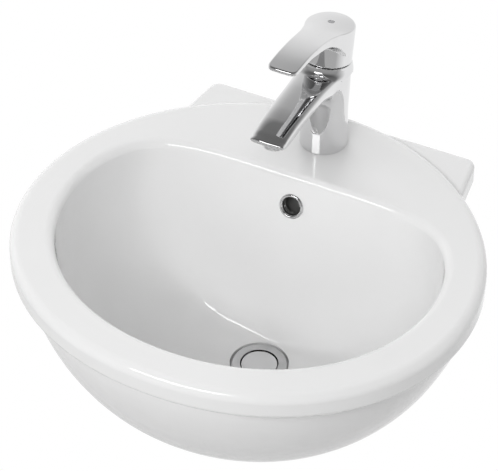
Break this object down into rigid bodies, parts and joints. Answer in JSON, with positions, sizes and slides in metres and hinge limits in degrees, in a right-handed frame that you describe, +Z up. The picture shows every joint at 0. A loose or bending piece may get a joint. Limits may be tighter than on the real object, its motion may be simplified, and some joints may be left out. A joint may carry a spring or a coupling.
{
  "type": "semi_recessed_basin",
  "caption": "Oval semi recessed wash basin in white glazed ceramic with rear worktop wings, chrome single lever mixer tap, overflow ring and click waste.",
  "frame": {"origin": "Middle of the rear edge of the flat underside that rests on the worktop; the rear edge is where the wall meets it.", "axes": "+X towards the right of the picture, which is the user's right in front of the basin, +Y towards the wall, +Z up."},
  "size_m": [0.5, 0.4532, 0.4496],
  "materials": {
    "glaze": "gloss",
    "chrome": "polished",
    "rubber": "matte",
    "steel": "satin",
    "brass": "satin",
    "plastic": "matte",
    "disc": "satin",
    "mark": "gloss"
  },
  "bodies": {
    "basin": {"basin_body": "glaze", "overflow_ring": "chrome", "waste_flange": "chrome", "waste_top_seal": "rubber", "waste_lower_seal": "rubber", "waste_washer": "plastic", "waste_backnut": "brass", "click_barrel": "brass", "click_spring": "steel", "tap_body": "chrome", "aerator_housing": "chrome", "aerator_insert": "plastic", "aerator_seal": "rubber", "port_plug": "chrome", "tap_foot_seal": "rubber", "clamp_gasket": "rubber", "clamp_plate": "steel", "fixing_nut": "brass", "fixing_stud": "steel", "cartridge_housing": "plastic", "cartridge_seal": "rubber", "lower_disc": "disc", "cartridge_nut": "brass", "cartridge_cover": "chrome"},
    "swivel": {"rotor": "plastic", "pivot_pin": "steel"},
    "lever": {"tap_lever": "chrome", "lever_indicator": "mark", "lever_set_screw": "steel", "cartridge_stem": "steel"},
    "carriage": {"disc_carriage": "plastic", "upper_disc": "disc"},
    "plug": {"plug_cap": "chrome", "plug_seal": "rubber", "plug_stem": "brass"}
  },
  "joints": [
    {"name": "lever_swivel", "type": "hinge", "parent": "basin", "child": "swivel", "pos_m": [0, -0.0467, 0.1377], "axis": [0, 0.1908, 0.9816], "range_deg": [-45, 45]},
    {"name": "lever_lift", "type": "hinge", "parent": "swivel", "child": "lever", "pos_m": [0, -0.04441, 0.14948], "axis": [-1, 0, 0], "range_deg": [0, 22]},
    {"name": "disc_slide", "type": "slide", "parent": "swivel", "child": "carriage", "axis": [0, -0.9816, 0.1908], "range_m": [0, 0.00384]},
    {"name": "plug_slide", "type": "slide", "parent": "basin", "child": "plug", "axis": [0, 0, 1], "range_m": [0, 0.009]}
  ],
  "couplings": [
    {"joint": "disc_slide", "follows": "lever_lift", "m_per_rad": 0.01}
  ]
}
